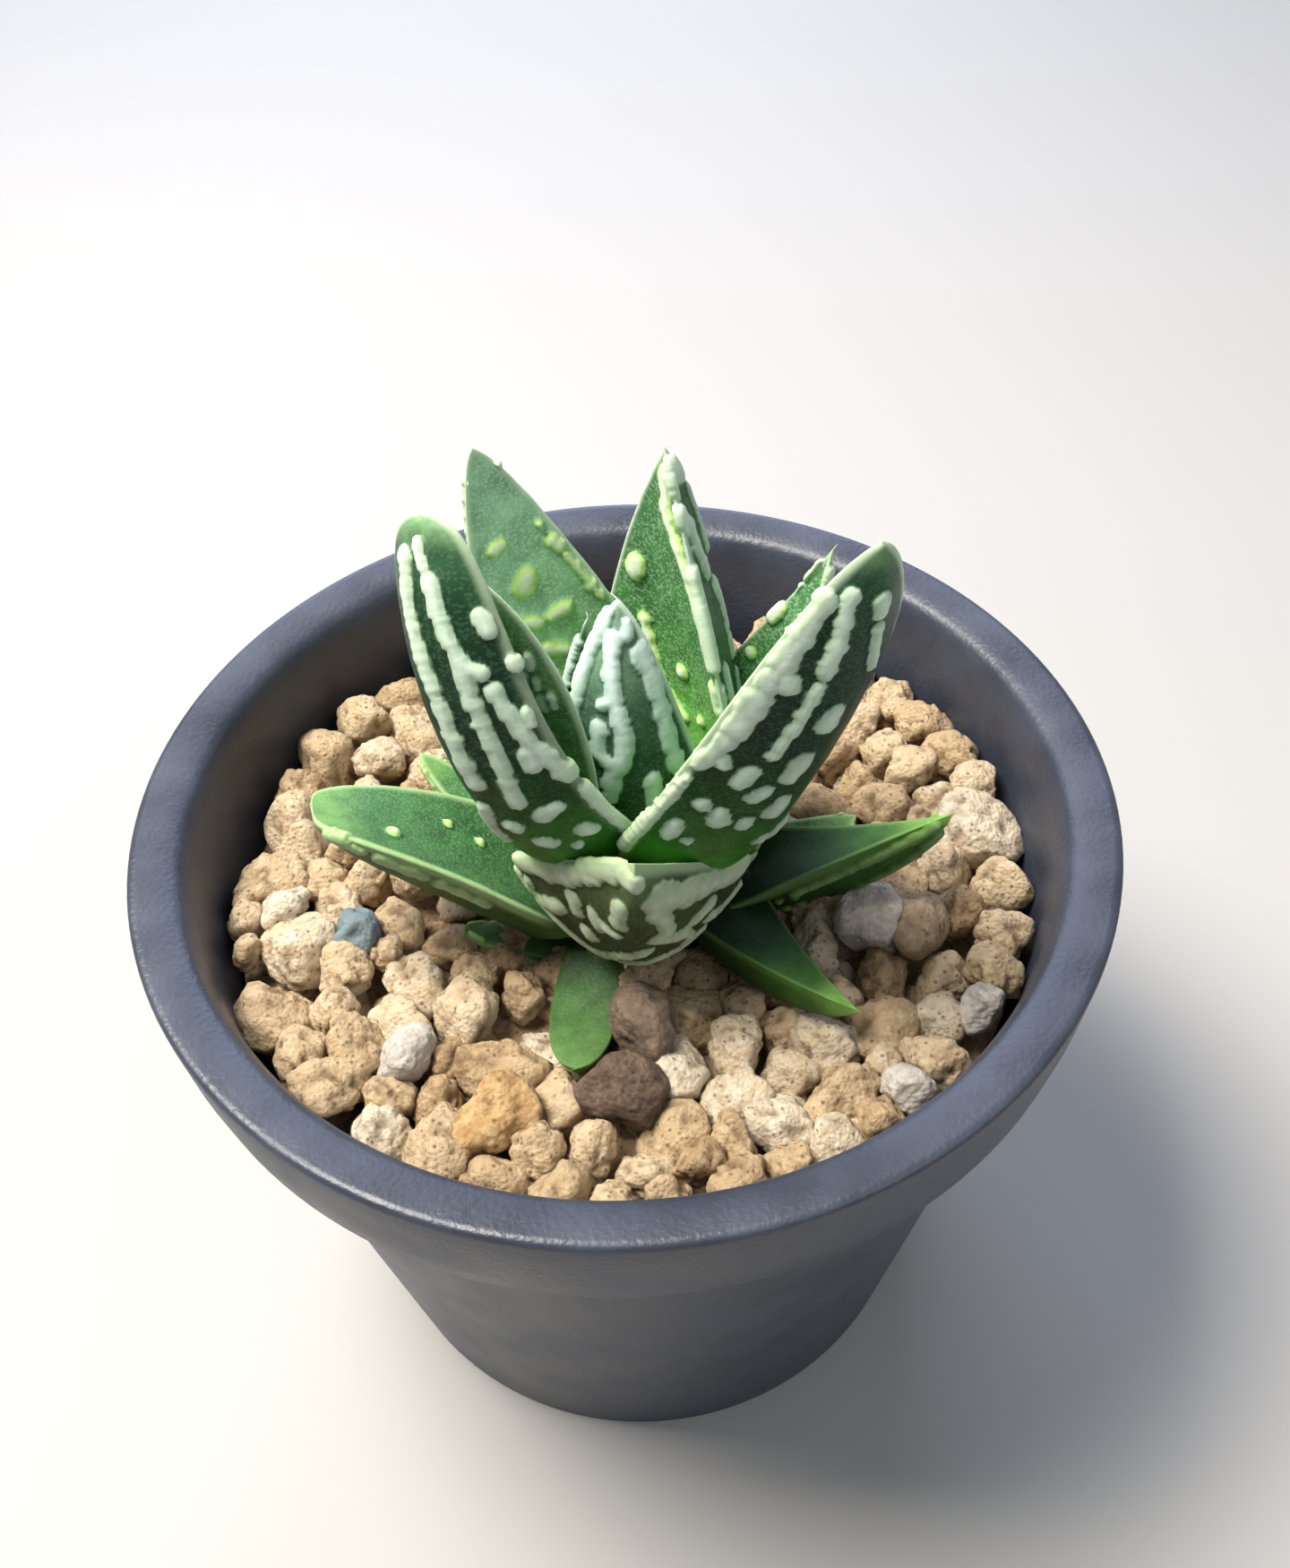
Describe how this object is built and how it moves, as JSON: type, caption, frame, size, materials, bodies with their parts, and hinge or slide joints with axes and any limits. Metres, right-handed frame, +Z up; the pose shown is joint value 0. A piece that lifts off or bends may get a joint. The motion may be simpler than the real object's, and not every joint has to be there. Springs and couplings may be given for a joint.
{
  "type": "potted haworthia",
  "caption": "Potted haworthia succulent: a loose rosette of keeled, pointed leaves with raised pale warts and ridges, in a round plastic pot of clay granules.",
  "frame": {"origin": "middle of the pot's underside, on the pot's axis, at the plane of the foot ring", "axes": "+Z up out of the pot's mouth; +X to the right and +Y away from a viewer in front of the pot"},
  "size_m": [0.12, 0.12, 0.1425],
  "materials": {
    "pot_plastic": "satin",
    "clay_granules": "matte",
    "stem": "matte",
    "leaf": "satin",
    "white_stone": "matte",
    "slate_stone": "matte",
    "grey_stone": "matte",
    "tan_stone": "matte",
    "pumice_stone": "matte",
    "brown_stone": "matte",
    "ochre_stone": "matte"
  },
  "bodies": {
    "root": {"pot": "pot_plastic", "granule_bed": "clay_granules", "stem": "stem", "leaf_front": "leaf", "leaf_front_right": "leaf", "leaf_front_left": "leaf", "leaf_heart": "leaf", "leaf_heart_sliver": "leaf", "leaf_inner_left": "leaf", "leaf_back": "leaf", "leaf_back_right": "leaf", "leaf_back_left": "leaf", "leaf_rear": "leaf", "leaf_rear_right": "leaf", "leaf_low_left": "leaf", "leaf_low_right": "leaf", "leaf_low_front_right": "leaf", "leaf_low_front": "leaf", "leaf_under_right": "leaf", "leaf_under_left": "leaf", "leaf_under_back_left": "leaf", "stone_white_front": "white_stone", "stone_slate": "slate_stone", "stone_grey_angular": "grey_stone", "stone_grey_round": "tan_stone", "stone_pumice": "pumice_stone", "stone_long": "brown_stone", "stone_white_right": "white_stone", "stone_white_sliver": "white_stone", "stone_ochre": "ochre_stone"}
  },
  "joints": []
}
